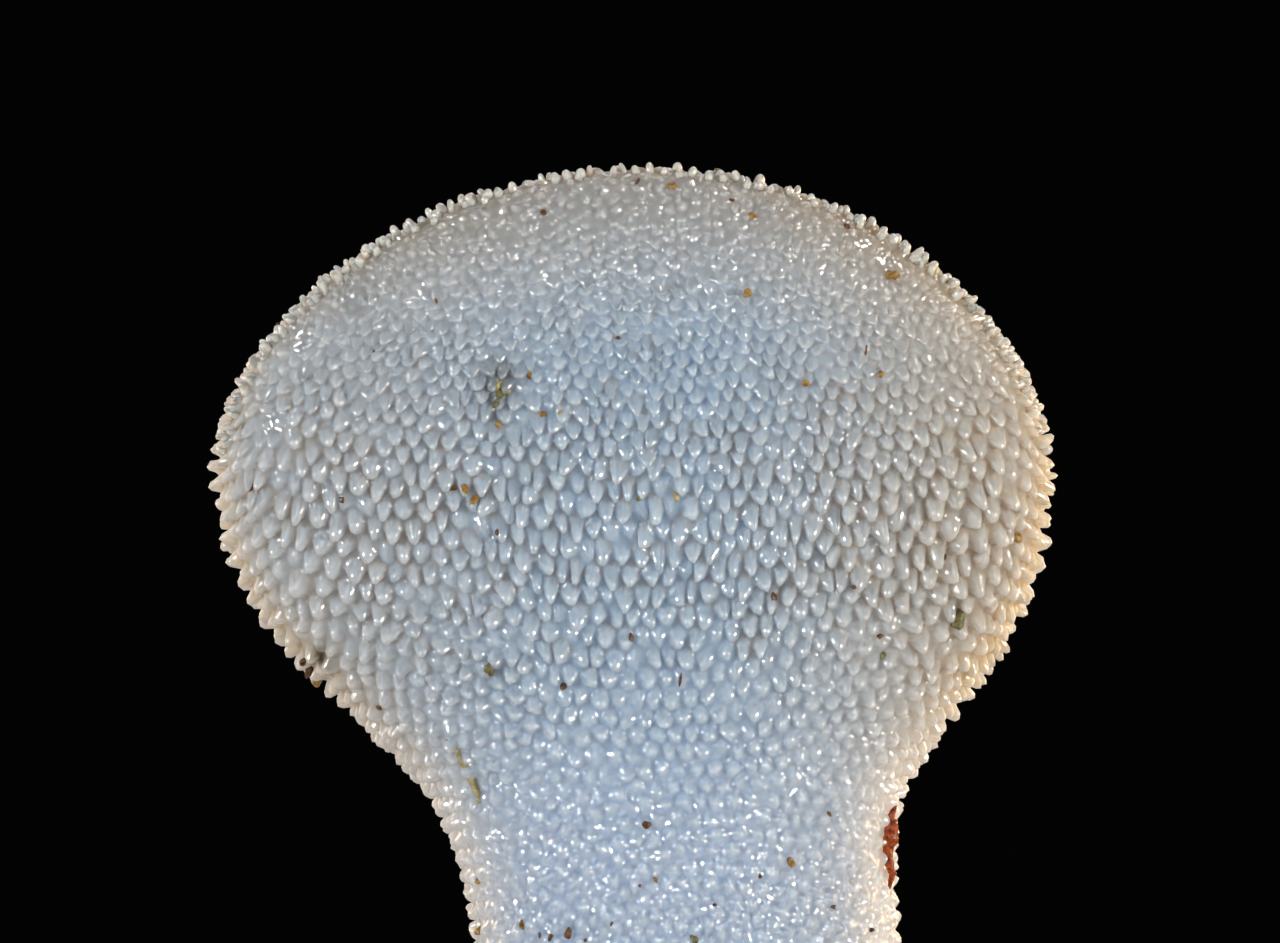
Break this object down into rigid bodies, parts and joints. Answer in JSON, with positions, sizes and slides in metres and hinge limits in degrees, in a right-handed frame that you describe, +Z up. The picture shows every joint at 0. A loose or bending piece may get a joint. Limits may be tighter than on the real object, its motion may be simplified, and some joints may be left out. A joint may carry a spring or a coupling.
{
  "type": "jelly tooth fungus",
  "caption": "Pale translucent jelly fungus: a rounded cap on a thick stem, covered with small soft teeth on one side and smooth on the other, cut flat at the foot.",
  "frame": {"origin": "middle of the flat cut at the foot of the stem", "axes": "+Z up along the stem, -Y towards the viewer that the toothed underside of the cap faces, +X to that viewer's right"},
  "size_m": [0.0418, 0.0183, 0.0472],
  "materials": {
    "jelly": "wet translucent jelly, bluish white, cream at the rim"
  },
  "bodies": {
    "root": {"fruiting_body": "jelly"}
  },
  "joints": []
}
